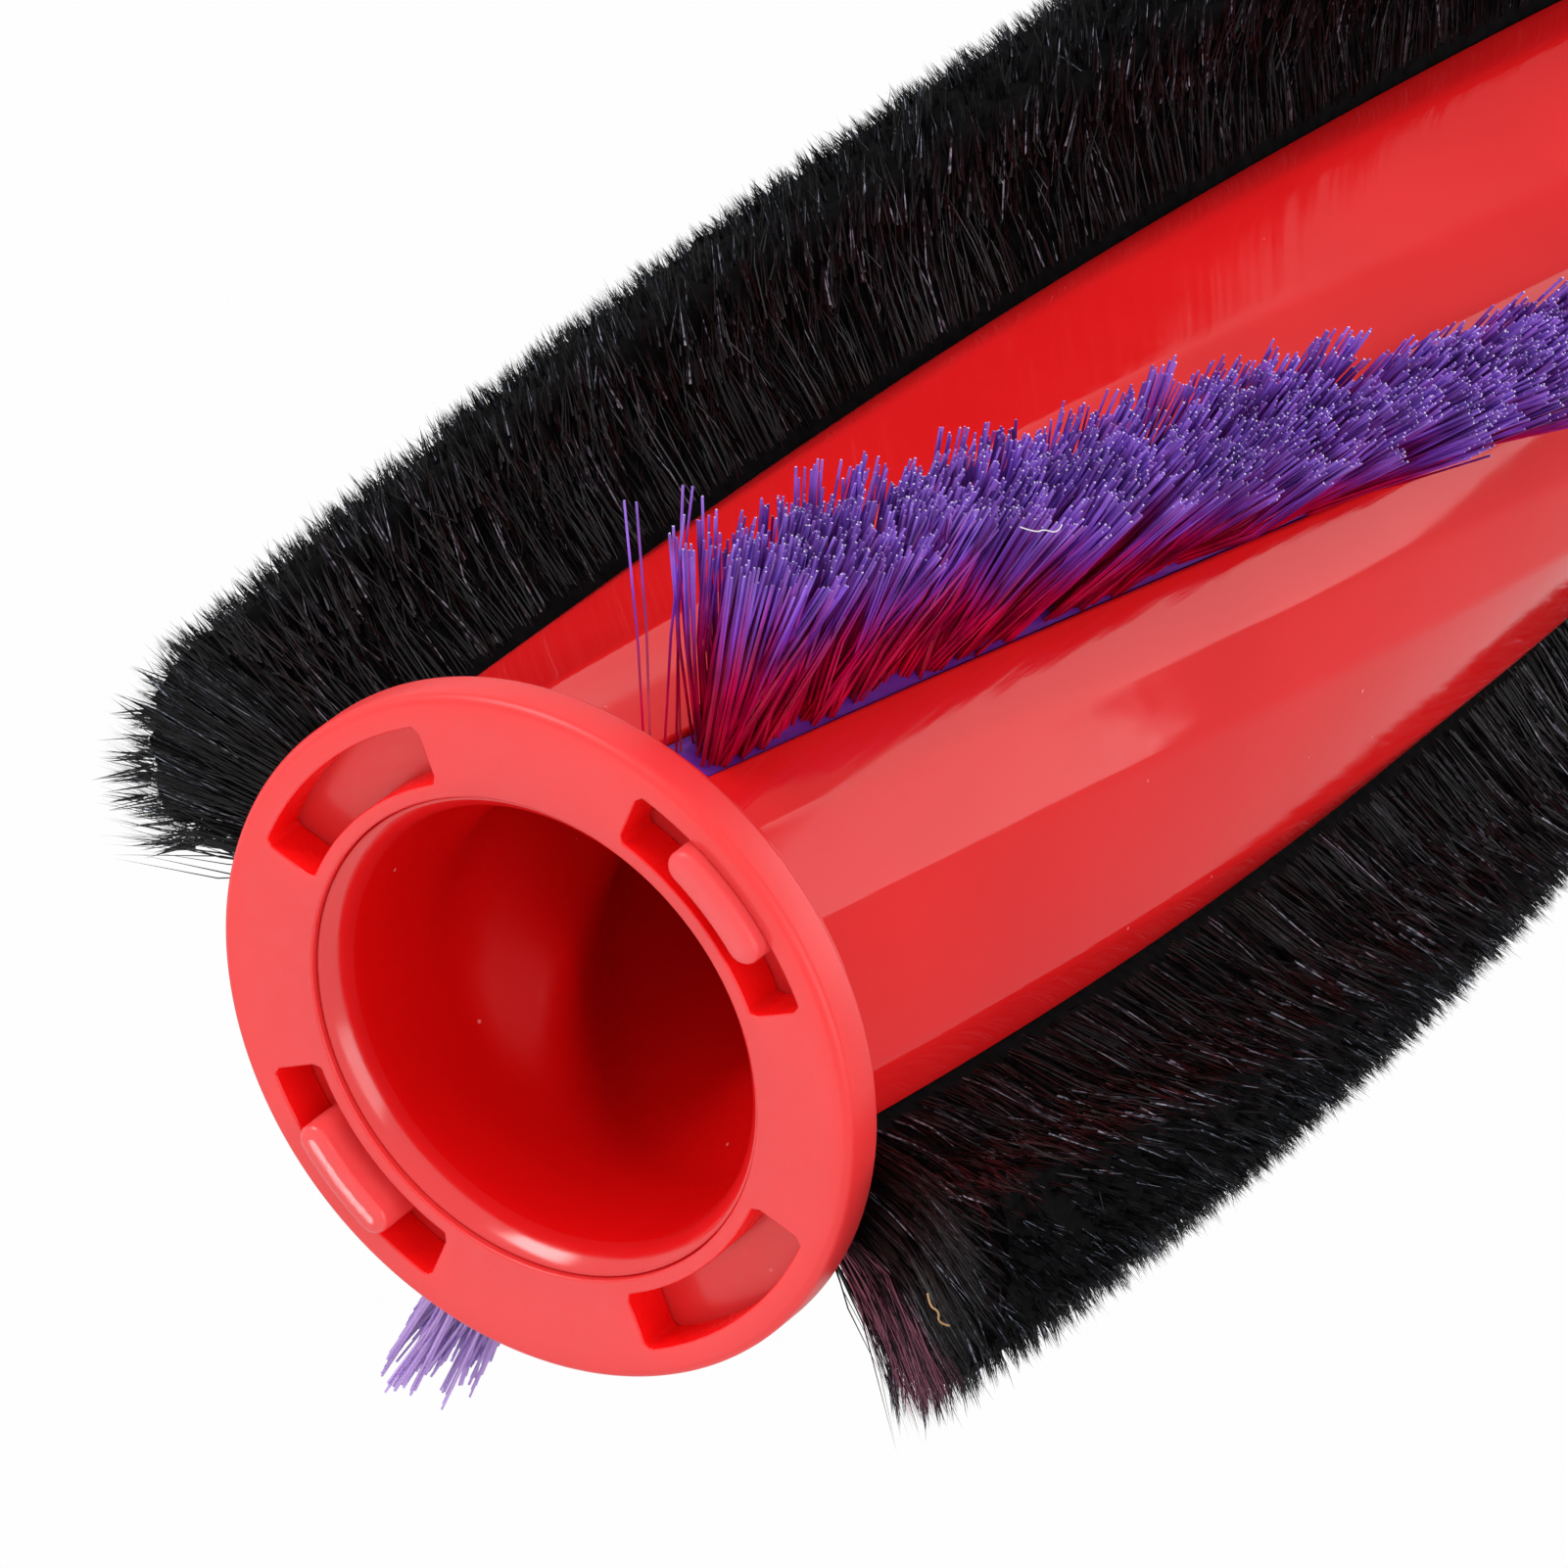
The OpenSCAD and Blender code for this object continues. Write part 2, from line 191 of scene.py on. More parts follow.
def land(first, last):
    """Land from the nylon channel's shoulder to the pile channel's, as (radius, angle)."""
    crease = (TUBE_R - CREASE_DROP, CREASE_TURN)
    pile_crest = (TUBE_R, 90 - PILE_MOUTH - PILE_CREST)
    nylon_crest = (TUBE_R, CREST_TURN)
    turns = np.concatenate([
        np.linspace(first, CREST_TURN - EDGE_BLEND, CREST_POINTS)[1:],
        np.linspace(CREST_TURN - EDGE_BLEND / 2, CREST_TURN + EDGE_BLEND, 4),
        np.linspace(CREST_TURN + EDGE_BLEND, CREASE_TURN - EDGE_BLEND, FACET_POINTS)[1:-1],
        np.linspace(CREASE_TURN - EDGE_BLEND, CREASE_TURN + EDGE_BLEND, 6),
        np.linspace(CREASE_TURN + EDGE_BLEND, pile_crest[1] - EDGE_BLEND, FACET_POINTS + 3)[1:-1],
        np.linspace(pile_crest[1] - EDGE_BLEND, pile_crest[1] + EDGE_BLEND, 6),
        np.linspace(pile_crest[1] + EDGE_BLEND, last, CREST_POINTS)[1:-1]])

    def height(t):
        if t < CREST_TURN or t > pile_crest[1]:
            return TUBE_R
        return float(facet(nylon_crest, crease, t) if t < CREASE_TURN else facet(crease, pile_crest, t))

    def rounded(t):
        steps = np.linspace(-EDGE_BLEND, EDGE_BLEND, 9)
        return sum(height(min(max(t + d, first), last)) for d in steps) / len(steps)

    return [(rounded(t), t) for t in turns]


def core_outline():
    """Outline of the tube's outside, counted from the first nylon strip."""
    nylon, pile_side = half_channel(NYLON_MOUTH), half_channel(PILE_MOUTH)
    first, last = nylon[-1][1], 90 - pile_side[-1][1]
    quarter = nylon + land(first, last) + [(r, 90 - t) for r, t in reversed(pile_side)]
    half = quarter[:-1] + [(r, 180 - t) for r, t in reversed(quarter)][:-1]
    return np.array(half + [(r, 180 + t) for r, t in half])


def lobe_share(depth):
    def rise(t):
        t = np.clip(t, 0, 1)
        return t * t * (3 - 2 * t)
    return rise((depth - LOBE_START) / LOBE_RISE) * rise((LOBE_START + LOBE_LEN - depth) / LOBE_RISE)


def bore_rings():
    """Rings of the inside, from the flange over the collar's lip and down the bore to the far end."""
    collar_top = RING_TOP - COLLAR_DROP
    profile = [(FLANGE_R, TUBE_TOP), (FLANGE_R, RING_LOW - 0.08), (FLANGE_R - 0.08, RING_LOW),
               (COLLAR_R, RING_LOW), (COLLAR_R, collar_top - 0.06), (COLLAR_R - 0.06, collar_top)]
    lip_r = COLLAR_R - MOUTH_LIP
    profile += [(lip_r, collar_top), (lip_r - 0.04, collar_top - 0.012), (lip_r - 0.08, collar_top - 0.045)]
    flare_r, flare_top = profile[-1]
    for share in (np.arange(1, 15) / 14) ** 1.4:
        profile.append((BORE_R + (flare_r - BORE_R) * (1 - share) ** LIP_CURVE,
                        flare_top - share * (MOUTH_FLARE - COLLAR_DROP)))
    rings = [(np.full(BORE_POINTS, r), 0.0, z) for r, z in profile]
    wave = (1 + np.cos(FULL_TURN * LOBE_COUNT * np.arange(BORE_POINTS) / BORE_POINTS)) / 2
    for depth in np.arange(LOBE_START - 1, LOBE_START + LOBE_LEN + 1.5, 0.75):
        share = lobe_share(depth)
        skin = LOBE_SKIN * min(1, max(0, depth - LOBE_START + 1))
        turn = -LOBE_TURN * (depth - LOBE_START)
        rings.append((BORE_R - skin - LOBE_H * share * wave, turn, RING_TOP - depth))
    end_turn = rings[-1][1]
    rings.append((np.full(BORE_POINTS, BORE_R), end_turn, rings[-1][2] - 1))
    rings.append((np.full(BORE_POINTS, BORE_R), end_turn, CAP_TOP))
    start = LOBE_PHASE + 360 * np.arange(BORE_POINTS) / BORE_POINTS
    return [np.column_stack([polar(r, start + turn), np.full(BORE_POINTS, z)]) for r, turn, z in rings]


def core_mesh():
    outline = core_outline()
    count = len(outline)
    heights = np.linspace(TUBE_TOP, CAP_TOP, int((TUBE_TOP - CAP_TOP) / CORE_ROW))
    outside = [np.column_stack([polar(outline[:, 0], outline[:, 1] + strip_angle(z)), np.full(count, z)])
               for z in heights]
    inside = bore_rings()
    points = np.concatenate(outside + inside)
    faces = ring_faces(len(outside), count)
    base = count * len(outside)
    faces += [tuple(base + i for i in f) for f in ring_faces(len(inside), BORE_POINTS)]
    last_out, last_in = base - count, base + BORE_POINTS * (len(inside) - 1)
    for outer, inner in ((0, base), (last_out, last_in)):
        loops = [[Vector(points[outer + i]) for i in range(count)],
                 [Vector(points[inner + i]) for i in range(BORE_POINTS)]]
        for tri in tessellate_polygon(loops):
            faces.append(tuple(outer + i if i < count else inner + i - count for i in tri))
    return mesh_object("core_tube_fine", points, faces, sharp=40)


def peg_outline(inset, steps=10):
    """Outline of a peg, an arc with round ends, drawn in by inset."""
    half = PEG_W / 2 - inset
    points = []
    for side, centre in ((1, PEG_HALF), (-1, -PEG_HALF)):
        middle = polar(PEG_R, centre)
        for t in np.linspace(0, 180, steps + 1):
            points.append(middle + side * polar(half, centre + t))
        arc_r = PEG_R - side * half
        for t in np.linspace(centre, -centre, steps + 1)[1:-1]:
            points.append(polar(arc_r, t))
    return np.array(points)


def pegs():
    made = []
    for turn in (90, 270):
        rings = []
        for z, inset in ((RING_LOW - 0.2, 0), (PEG_TOP - 0.34, 0), (PEG_TOP - 0.22, 0.03), (PEG_TOP - 0.12, 0.1),
                         (PEG_TOP - 0.05, 0.2), (PEG_TOP - 0.015, 0.32), (PEG_TOP, 0.66)):
            flat = peg_outline(inset)
            a = math.radians(turn)
            spin = np.array([[math.cos(a), math.sin(a)], [-math.sin(a), math.cos(a)]])
            rings.append(np.column_stack([flat @ spin, np.full(len(flat), z)]))
        count = len(rings[0])
        faces = ring_faces(len(rings), count)
        faces += [tuple(range(count)), tuple(range(count * (len(rings) - 1), count * len(rings)))]
        made.append(mesh_object("peg", np.concatenate(rings), faces))
    return made


# End ring

RING_STEP = 0.75
RING_ROUND = 0.45
CORNER_ROUND = 0.3


def ring_mesh():
    """Ring with four windows, as one closed skin of quads."""
    angles = np.arange(0, 360, RING_STEP)
    count = len(angles)
    local = (angles + 45) % 90 - 45
    end_gap = np.clip(WINDOW_HALF - np.abs(local), 0, None) * math.pi / 180 * WINDOW_OUT
    bend = np.clip(CORNER_ROUND - end_gap, 0, None)
    corner = CORNER_ROUND - np.sqrt(np.clip(CORNER_ROUND ** 2 - bend ** 2, 0, None))
    corner[np.abs(local) > WINDOW_HALF + 0.01] = 0
    full = np.ones(count)
    loop = [(RING_BORE * full, RING_LOW), (RING_BORE * full, RING_TOP), (WINDOW_IN + corner, RING_TOP),
            (WINDOW_OUT - corner, RING_TOP)]
    loop += [(r * full, z) for r, z in arc((RING_R - RING_ROUND, RING_TOP - RING_ROUND), RING_ROUND, 90, 0, 6)]
    loop += [(r * full, z) for r, z in arc((RING_R - RING_ROUND, RING_LOW + RING_ROUND), RING_ROUND, 0, -90, 6)]
    loop += [(WINDOW_OUT - corner, RING_LOW), (WINDOW_IN + corner, RING_LOW)]
    points = np.concatenate([np.column_stack([polar(r, angles), np.full(count, z)]) for r, z in loop])
    rows = len(loop)
    front, back = (2, 3), (rows - 2, rows - 1)
    inside = np.abs((angles + RING_STEP / 2 + 45) % 90 - 45) < WINDOW_HALF
    faces = []
    for i in range(rows):
        j = (i + 1) % rows
        for k in range(count):
            if inside[k] and (i, j) in (front, back):
                continue
            n = (k + 1) % count
            faces.append((i * count + k, i * count + n, j * count + n, j * count + k))
    for k in range(count):
        n = (k + 1) % count
        if inside[k]:
            for top, low in ((front[0], back[1]), (front[1], back[0])):
                faces.append((top * count + k, top * count + n, low * count + n, low * count + k))
        if inside[k] != inside[k - 1]:
            faces.append((front[0] * count + k, front[1] * count + k, back[0] * count + k, back[1] * count + k))
    ring = mesh_object("end_ring_fine", points, faces)
    bevel = ring.modifiers.new("edges", "BEVEL")
    bevel.width = 0.1 * MM
    bevel.segments = 2
    bevel.limit_method = "ANGLE"
    bevel.angle_limit = math.radians(40)
    return ring


def window_wall(place):
    """Whether a face of the ring is a wall of a window."""
    r = math.hypot(place.x, place.y) / MM
    return WINDOW_IN - 0.05 < r < WINDOW_OUT + 0.05 and RING_LOW + 0.1 < place.z / MM < RING_TOP - 0.1


# Bristles

def strand_mesh(name, groups):
    """One mesh of many closed strands. A group is (points, triangle pattern)."""
    all_points, all_tris, start = [], [], 0
    for points, pattern in groups:
        count, size = points.shape[:2]
        all_points.append(points.reshape(-1, 3))
        index = start + np.arange(count)[:, None, None] * size + np.array(pattern)[None]
        all_tris.append(index.reshape(-1, 3))
        start += count * size
    points = np.concatenate(all_points) * MM
    tris = np.concatenate(all_tris)
    mesh = bpy.data.meshes.new(name)
    mesh.vertices.add(len(points))
    mesh.vertices.foreach_set("co", points.astype(np.float32).ravel())
    mesh.loops.add(3 * len(tris))
    mesh.loops.foreach_set("vertex_index", tris.astype(np.int32).ravel())
    mesh.polygons.add(len(tris))
    mesh.polygons.foreach_set("loop_start", np.arange(0, 3 * len(tris), 3, dtype=np.int32))
    mesh.polygons.foreach_set("use_smooth", np.zeros(len(tris), dtype=bool))
    mesh.update(calc_edges=True)
    mesh.validate()
    return link(name, mesh)


def side_points(centre, ahead, radius, spin):
    """Three points round a strand at centre, which runs ahead."""
    ahead = ahead / np.linalg.norm(ahead, axis=1, keepdims=True)
    up = np.where(np.abs(ahead[:, 2:3]) < 0.9, np.array([[0, 0, 1.0]]), np.array([[1.0, 0, 0]]))
    across = np.cross(ahead, up)
    across /= np.linalg.norm(across, axis=1, keepdims=True)
    other = np.cross(ahead, across)
    turns = spin[:, None] + np.array([0, FULL_TURN / 3, 2 * FULL_TURN / 3])[None]
    return (centre[:, None] + radius[:, None, None]
            * (np.cos(turns)[..., None] * across[:, None] + np.sin(turns)[..., None] * other[:, None]))


def band(a, b):
    """Triangles between two triples of points."""
    out = []
    for k in range(3):
        n = (k + 1) % 3
        out += [(a + k, a + n, b + k), (a + n, b + n, b + k)]
    return out


POINTED = [(0, 1, 3), (1, 2, 3), (2, 0, 3)]
POINTED_BENT = [(0, 2, 1)] + band(0, 3) + [(3, 4, 6), (4, 5, 6), (5, 3, 6)]
CUT = [(0, 2, 1)] + band(0, 3) + [(3, 4, 5)]
CUT_BENT = [(0, 2, 1)] + band(0, 3) + band(3, 6) + [(6, 7, 8)]


def pointed(root, tip, radius):
    """Straight strands that taper to a point."""
    spin = rng.uniform(0, FULL_TURN, len(root))
    base = side_points(root, tip - root, radius, spin)
    return np.concatenate([base, tip[:, None]], axis=1), POINTED


def pointed_bent(root, middle, tip, radius):
    """Tapered strands with one bend."""
    spin = rng.uniform(0, FULL_TURN, len(root))
    base = side_points(root, middle - root, radius, spin)
    waist = side_points(middle, tip - root, 0.75 * radius, spin)
    return np.concatenate([base, waist, tip[:, None]], axis=1), POINTED_BENT


def cut(root, tip, radius):
    """Straight filaments of even thickness with a cut end."""
    spin = rng.uniform(0, FULL_TURN, len(root))
    ends = [side_points(place, tip - root, radius, spin) for place in (root, tip)]
    return np.concatenate(ends, axis=1), CUT


def cut_bent(root, middle, tip, radius):
    """Filaments of even thickness, with one bend and a cut end."""
    spin = rng.uniform(0, FULL_TURN, len(root))
    low = side_points(root, middle - root, radius, spin)
    waist = side_points(middle, tip - root, radius, spin)
    end = side_points(tip, tip - middle, radius, spin)
    return np.concatenate([low, waist, end], axis=1), CUT_BENT


def on_roller(r, across, z, turn):
    """Point at radius r, across millimetres from the middle of the strip that is turn degrees from the first."""
    angle = strip_angle(z) + turn + np.degrees(across / r)
    return np.column_stack([polar(r, angle), z])


def smooth_noise(z, step, seed, parts=3):
    """Sum of sines with random phases along z, between about -1 and 1."""
    source = np.random.default_rng(seed)
    total = np.zeros_like(z)
    for i in range(parts):
        total += np.sin(FULL_TURN * z / (step * (0.6 + 0.5 * i)) + source.uniform(0, FULL_TURN))
    return total / parts


NEAR = 80.0


def heights(count, low, high, near_share):
    """Heights between low and high, evenly jittered, of which near_share lie within NEAR of the high end."""
    first = round(count * near_share)
    share = [(np.arange(n) + rng.uniform(0, 1, n)) / n for n in (first, count - first)]
    return rng.permutation(np.concatenate([high - NEAR * share[0], low + (high - NEAR - low) * share[1]]))


ROW_LOW, ROW_HIGH = CAP_TOP + 1.0, TUBE_TOP - 0.4
NYLON_R = 0.07
NYLON_HALF = 1.1
NYLON_FAN = 2.5
STRAYS = [(3.1, 6.9, -1.5), (3.4, 6.5, -1.4), (5.0, 6.5, -2.3), (5.3, 6.2, -2.2), (4.2, 4.6, -1.2)]
NYLON_TIP = 25.0
NYLON_CLUMPS = 1650
CLUMP_SIZE = 9
CLUMP_STEP = 0.13
THIN_END = 2.9


def nylon_row(name, turn, lean_side):
    """Row of stiff bristles in flat clumps that lean to one side, thinner at the open end."""
    z = heights(NYLON_CLUMPS, ROW_LOW, ROW_HIGH, 0.44)
    thin = THIN_END if lean_side > 0 else 0.5
    keep = rng.uniform(0, 1, len(z)) < np.clip(0.02 + ((ROW_HIGH - z) / thin) ** 2.5, 0, 1)
    z = z[keep]
    share = rng.uniform(-1, 1, len(z))
    lean = rng.normal(0, 1, (len(z), 4))
    near_end = np.exp((z - ROW_HIGH) / 5)
    fan = NYLON_FAN * (1 - 0.5 * near_end)
    side = lean_side * (1 + 0.8 * near_end) + fan * share + 0.75 * (1 - 0.4 * near_end) * lean[:, 0]
    rise = 1.1 * lean[:, 1] + 0.7 * smooth_noise(z, 14, int(turn))
    reach = NYLON_TIP - 0.15 - 0.7 * np.abs(lean[:, 2]) * (0.5 + 0.5 * np.abs(share))
    twist = rng.uniform(0, math.pi, len(z))
    line = (np.arange(CLUMP_SIZE) - (CLUMP_SIZE - 1) / 2) * CLUMP_STEP

    def spread(values):
        return np.repeat(values, CLUMP_SIZE)

    count = len(z) * CLUMP_SIZE
    along = np.tile(line, len(z)) * spread(np.sin(twist)) + rng.normal(0, 0.07, count)
    sideways = np.tile(line, len(z)) * spread(np.cos(twist)) + rng.normal(0, 0.07, count)
    root_side = np.clip(spread(share) * (NYLON_HALF - 0.2) + 0.6 * sideways, -NYLON_HALF, NYLON_HALF)
    root_z = np.clip(spread(z) + 0.8 * along, ROW_LOW - 0.5, TUBE_TOP - 0.15)
    tip_r = np.minimum(spread(reach) + rng.normal(0, 0.3, count), NYLON_TIP + 0.3)
    tip_side = np.clip(spread(side) + 1.3 * sideways + rng.normal(0, 0.1, count), -2.6, 6.6)
    tip_z = np.clip(root_z + spread(rise) + 0.3 * along, ROW_LOW - 0.8, RING_LOW - 0.15)
    root = on_roller(np.full(count, STRIP_TOP - 0.35), root_side, root_z, turn)
    tip = on_roller(tip_r, tip_side, tip_z, turn)
    bow = np.repeat(rng.normal(0, 0.22, (len(z), 3)), CLUMP_SIZE, axis=0)
    middle = root + 0.5 * (tip - root) + bow + rng.normal(0, 0.03, (count, 3))
    radius = NYLON_R * rng.uniform(0.9, 1.1, count)
    near = root_z > ROW_HIGH - NEAR
    groups = [cut_bent(root[near], middle[near], tip[near], radius[near]),
              cut(root[~near], tip[~near], radius[~near])]
    if lean_side > 0:
        groups.append(stray_bristles(turn))
    return strand_mesh(name, groups)


def stray_bristles(turn):
    """The few bristles beside the ring that lean far out."""
    depth, side, rise = (np.array(v) for v in zip(*STRAYS))
    z = RING_TOP - depth
    root = on_roller(np.full(len(z), STRIP_TOP - 0.35), np.full(len(z), 0.5), z, turn)
    tip = on_roller(np.full(len(z), NYLON_TIP + 0.3), side, z + rise, turn)
    return cut_bent(root, (root + tip) / 2 + rng.normal(0, 0.2, root.shape), tip, np.full(len(z), NYLON_R))


PILE_TIP = 25.4
PILE_PROFILE = [(14.1, 12.0), (20.3, 13.1), (23.8, 17.5), (25.17, 7.9), (25.4, 0.0)]
PILE_LOW_R = 14.7
TUFT_SIZE = 4
TUFTS = 12600
LOOSE_HAIRS = 1300
END_HAIRS = 600
FLANK_HAIRS = 2600
SPLAY_REACH = 6.0


# Two loose fibres caught in the rows
LINT = [(-18.8, -10.3, 225.3), (-19.3, -10.2, 225.6), (-19.7, -10.5, 225.6), (-20.1, -9.9, 225.5), (-20.5, -10.1, 225.2)]
HAIR_LINE = [(17.9, -1.5), (18.4, -2.0), (18.9, -1.9), (19.4, -2.3), (20.0, -1.9)]
HAIR = [(*polar(25.35, strip_angle(RING_TOP - depth) + math.degrees(side / 25.35)), RING_TOP - depth)
        for depth, side in HAIR_LINE]


def pile_section(count, inset=0.0):
    """Half outline of a pile row from its root to the middle of its top: height above the root and distance across."""
    r, a = (np.array(v) for v in zip(*PILE_PROFILE))
    x, y = r * np.sin(np.radians(a)), r * np.cos(np.radians(a))
    x[1:-1] -= inset
    y[2:] -= inset
    length = np.concatenate([[0], np.cumsum(np.hypot(np.diff(x), np.diff(y)))])
    at = np.linspace(0, length[-1], 24)
    x, y = np.interp(at, length, x), np.interp(at, length, y)
    for _ in range(2):
        x[1:-1] = (x[:-2] + 2 * x[1:-1] + x[2:]) / 4
        y[1:-1] = (y[:-2] + 2 * y[1:-1] + y[2:]) / 4
    length = np.concatenate([[0], np.cumsum(np.hypot(np.diff(x), np.diff(y)))])
    at = np.linspace(0, length[-1], count)
    return np.interp(at, length, x), np.interp(at, length, y)


def flat_place(x, y, z, turn):
    """Point x across and y outwards in the plane through the axis and the strip's middle at height z."""
    a = np.radians(strip_angle(z) + turn)
    return np.column_stack([y * np.cos(a) - x * np.sin(a), y * np.sin(a) + x * np.cos(a), z])


def splayed(points, splay):
    """Points of a row whose fibres lean out over the open end by up to splay at their tips."""
    out = points.copy()
    r = np.hypot(points[:, 0], points[:, 1])
    share = np.clip((r - TUBE_R) / (PILE_TIP - TUBE_R), 0, 1) ** 1.5
    out[:, 2] += splay * share * np.exp(np.minimum(points[:, 2] - ROW_HIGH, 0) / SPLAY_REACH)
    return out


def tuft_places(count, low, high, near_share, seed):
    """Ends of tufts on a pile row's surface: across, outwards, height, and the way its fibres run."""
    sx, sy = pile_section(200)
    first = np.searchsorted(sy, PILE_LOW_R)
    pick = rng.integers(first, len(sx), count)
    side = rng.choice([-1.0, 1.0], count)
    x, y = sx[pick] * side, sy[pick]
    z = heights(count, low, high, near_share)
    run = np.column_stack([x - 0.62 * x * 14.0 / y, y - 14.0])
    run /= np.linalg.norm(run, axis=1, keepdims=True)
    wave = smooth_noise(z + 1.3 * x, 7.0, seed)
    ahead = 0.15 * wave + rng.normal(0, 0.16, count) + 0.2 * np.exp((z - high) / 4)
    return x, y, z, run, ahead


def pile_row(name, turn, splay):
    """Loose ends of a soft pile row, in tufts that lean in waves."""
    x, y, z, run, ahead = tuft_places(TUFTS, ROW_LOW, ROW_HIGH, 0.58, int(turn))
    far = np.clip((ROW_HIGH - 70 - z) / 20, 0, 1)
    outward = rng.uniform(-0.1, 0.42, TUFTS)
    x_tip = x + np.sign(x) * outward * np.clip(np.abs(x) / 3, 0, 1)
    y_tip = np.minimum(y + 0.35 * outward + rng.normal(0, 0.12, TUFTS), PILE_TIP + 0.25)
    length = rng.uniform(1.4, 2.4, TUFTS)
    z_tip = np.clip(z + length * ahead, ROW_LOW - 0.9, np.where(y > 17.2, RING_LOW + 1.0, TUBE_TOP + 0.6))
    tip = splayed(flat_place(x_tip, y_tip, z_tip, turn), splay)
    sunk = 0.35 * np.sign(x)
    root = splayed(flat_place(x - sunk - length * run[:, 0], y - length * run[:, 1], z, turn), splay)
    wide = (0.16 + 0.12 * far)[:, None]

    def strands(points, scatter):
        return np.repeat(points, TUFT_SIZE, axis=0) + rng.normal(0, 1, (TUFTS * TUFT_SIZE, 3)) * scatter

    foot = strands(root, np.repeat(wide, TUFT_SIZE, axis=0))
    end = strands(tip, 0.05)
    end -= (end - foot) * rng.uniform(0, 0.22, (len(end), 1))
    thick = np.repeat(0.06 + 0.06 * far, TUFT_SIZE)
    groups = [pointed(foot, end, thick)]
    x, y, z, run, ahead = tuft_places(LOOSE_HAIRS, ROW_LOW, ROW_HIGH, 0.6, int(turn))
    length = rng.uniform(2.2, 3.8, LOOSE_HAIRS)
    root = splayed(flat_place(x - length * run[:, 0], y - length * run[:, 1], z, turn), splay)
    y_tip = np.minimum(y + rng.uniform(0, 0.5, LOOSE_HAIRS), PILE_TIP + 0.3)
    reach = np.clip(z + length * (ahead + rng.normal(0, 0.2, LOOSE_HAIRS)), ROW_LOW - 0.9, TUBE_TOP + 0.6)
    tip = splayed(flat_place(x + rng.normal(0, 0.4, LOOSE_HAIRS), y_tip, reach, turn), splay)
    groups.append(pointed_bent(root, (root + tip) / 2 + rng.normal(0, 0.25, root.shape), tip,
                               np.full(LOOSE_HAIRS, 0.045)))
    groups.append(flank_hairs(turn, splay))
    return strand_mesh(name, groups)


def flank_hairs(turn, splay):
    """Long hairs that run up a pile row's two flanks from its channel."""
    sx, sy = pile_section(200)
    z = heights(FLANK_HAIRS, ROW_LOW, ROW_HIGH, 0.6)
    side = rng.choice([-1.0, 1.0], FLANK_HAIRS)
    tip_y = rng.uniform(15.5, 21.5, FLANK_HAIRS)
    middle_y = STRIP_TOP + 0.55 * (tip_y - STRIP_TOP)
    proud = rng.uniform(-0.15, 0.2, FLANK_HAIRS)
    rise = (0.15 * smooth_noise(z, 7.0, int(turn)) + rng.normal(0, 0.12, FLANK_HAIRS)) * (tip_y - STRIP_TOP)
    root = flat_place(side * (sx[0] - 0.1), np.full(FLANK_HAIRS, STRIP_TOP - 0.1), z, turn)
    middle = flat_place(side * (np.interp(middle_y, sy, sx) + proud), middle_y, z + 0.4 * rise, turn)
    tip = flat_place(side * (np.interp(tip_y, sy, sx) + proud), tip_y, np.minimum(z + rise, TUBE_TOP), turn)
    places = [splayed(p, splay) for p in (root, middle, tip)]
    return pointed_bent(*places, rng.uniform(0.04, 0.07, FLANK_HAIRS))


def pile_end(name, turn, splay, shares=(-1, 1)):
    """Long thin hairs that splay out of a pile row's open end, between two shares of its half width."""
    share = rng.uniform(*shares, END_HAIRS)
    z = TUBE_TOP - 0.2 - rng.uniform(0, 1.6, END_HAIRS)
    tip_y = PILE_TIP - 0.3 - 2.2 * np.abs(share) ** 3 - np.abs(rng.normal(0, 1.2, END_HAIRS))
    root = flat_place(2.6 * share, np.full(END_HAIRS, STRIP_TOP - 0.3), z, turn)
    rise = np.abs(rng.normal(0.3, 0.9, END_HAIRS))
    tip = splayed(flat_place(5.4 * share + rng.normal(0, 0.5, END_HAIRS), tip_y, z + rise, turn), splay)
    middle = (root + tip) / 2 + rng.normal(0, 0.3, root.shape)
    middle[:, 2] = np.minimum(middle[:, 2], RING_LOW - 0.15)
    return strand_mesh(name, [pointed_bent(root, middle, tip, rng.uniform(0.035, 0.06, END_HAIRS))])


def pile_core(name, turn, splay, margin=1.3, rows=300, half=26):
    """Dense middle of a pile row, out of which its loose ends stand."""
    x, y = pile_section(half, 0.8)
    y = np.where(np.arange(half) < 3, np.maximum(y - 0.4, STRIP_TOP - 0.35), y)
    section_x = np.concatenate([x, -x[:-1][::-1]])
    section_y = np.concatenate([y, y[:-1][::-1]])
    count = len(section_x)
    points = []
    lift = rng.normal(0, 0.06, (rows, count))
    weight = np.clip((section_y - 15) / 3, 0, 1)
    for i, z in enumerate(np.linspace(ROW_LOW + margin, ROW_HIGH - margin, rows)):
        grow = 1 + lift[i] * weight / 12
        flat = flat_place(section_x * grow, section_y * grow - 0.25 * weight, np.full(count, z), turn)
        points.append(splayed(flat, splay))
    faces = ring_faces(rows, count)
    for start in (0, (rows - 1) * count):
        loop = [Vector(p) for p in points[start // count]]
        faces += [tuple(start + i for i in tri) for tri in tessellate_polygon([loop])]
    return mesh_object(name, np.concatenate(points), faces, sharp=60)


def lint(name, points, radius):
    """One loose fibre that lies along the given points."""
    curve = bpy.data.curves.new(name, "CURVE")
    curve.dimensions = "3D"
    curve.bevel_depth = radius * MM
    curve.bevel_resolution = 1
    spline = curve.splines.new("NURBS")
    spline.points.add(len(points) - 1)
    for point, place in zip(spline.points, points):
        point.co = (*(Vector(place) * MM), 1)
    spline.use_endpoint_u = True
    spline.order_u = 3
    return link(name, curve)


# Materials

